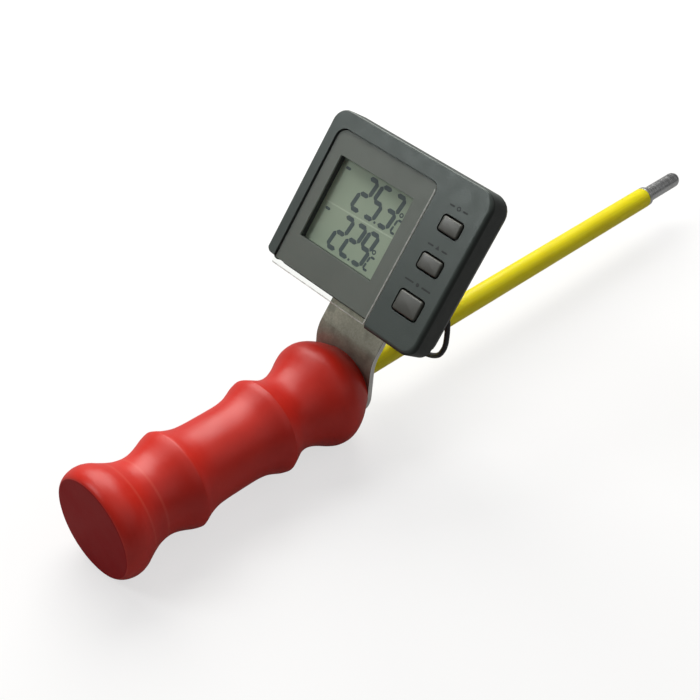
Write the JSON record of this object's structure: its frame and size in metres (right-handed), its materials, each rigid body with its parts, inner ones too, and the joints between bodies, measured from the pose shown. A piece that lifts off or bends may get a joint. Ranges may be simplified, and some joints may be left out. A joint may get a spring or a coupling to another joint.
{
  "type": "darkroom thermometer",
  "caption": "Hand-held digital dip thermometer: turned red handle, tilted display case with keys on a bent steel strip, and a yellow tube stem with a steel sensing tip.",
  "frame": {"origin": "centre of the flat butt face of the handle, on the handle's axis", "axes": "+X along the handle and the stem towards the sensing tip, +Z towards the side the display stands on, the display's right-hand side is -Y"},
  "size_m": [0.2913, 0.066, 0.0961],
  "materials": {
    "red_handle": "satin red paint over turned wood",
    "yellow_tube": "smooth yellow reinforced plastic tube",
    "bracket_steel": "plain mottled strip, edges bright from cutting",
    "bright_steel": "bright steel",
    "case_plastic": "fine matt grain",
    "rear_plastic": "fine matt grain",
    "clear_plate": "clear polished",
    "lcd": "glass with a matt polariser",
    "key_plastic": "satin, slightly pearly",
    "black_plastic": "plain",
    "lead_jacket": "soft satin jacket",
    "rubber": "matt",
    "board": "lacquered laminate",
    "contact_brass": "plated spring strip"
  },
  "bodies": {
    "thermometer": {"handle": "red_handle", "stem_tube": "yellow_tube", "stem_sleeve": "rubber", "sensing_tip": "bright_steel", "sensor_bead": "black_plastic", "sensor_lead": "lead_jacket", "bracket": "bracket_steel", "handle_screw_left": "bright_steel", "handle_screw_right": "bright_steel", "front_shell": "case_plastic", "window": "clear_plate", "lcd_glass": "lcd", "lcd_contact_lower": "rubber", "lcd_contact_upper": "rubber", "circuit_board": "board", "controller_resin": "black_plastic", "air_sensor": "black_plastic", "switch_top": "black_plastic", "switch_middle": "black_plastic", "switch_bottom": "black_plastic", "rear_shell": "rear_plastic", "case_screw_1": "bright_steel", "case_screw_2": "bright_steel", "case_screw_3": "bright_steel", "case_screw_4": "bright_steel", "bracket_screw_lower": "bright_steel", "bracket_screw_upper": "bright_steel", "button_cell": "bright_steel", "battery_contact": "contact_brass", "case_sleeve": "rubber", "case_lead": "lead_jacket", "sensor_cable": "lead_jacket"},
    "key_top": {"key_top": "key_plastic", "key_top_plunger": "black_plastic"},
    "key_middle": {"key_middle": "key_plastic", "key_middle_plunger": "black_plastic"},
    "key_bottom": {"key_bottom": "key_plastic", "key_bottom_plunger": "black_plastic"},
    "battery_cover": {"battery_cover": "rear_plastic"}
  },
  "joints": [
    {"name": "key_top_press", "type": "slide", "parent": "thermometer", "child": "key_top", "axis": [0.8192, 0, -0.5736], "range_m": [0, 0.0006], "stiffness_N_per_m": 1500},
    {"name": "key_middle_press", "type": "slide", "parent": "thermometer", "child": "key_middle", "axis": [0.8192, 0, -0.5736], "range_m": [0, 0.0006], "stiffness_N_per_m": 1500},
    {"name": "key_bottom_press", "type": "slide", "parent": "thermometer", "child": "key_bottom", "axis": [0.8192, 0, -0.5736], "range_m": [0, 0.0006], "stiffness_N_per_m": 1500},
    {"name": "battery_cover_turn", "type": "hinge", "parent": "thermometer", "child": "battery_cover", "pos_m": [0.12858, 0, 0.05915], "axis": [0.8192, 0, -0.5736], "range_deg": [0, 70]}
  ]
}
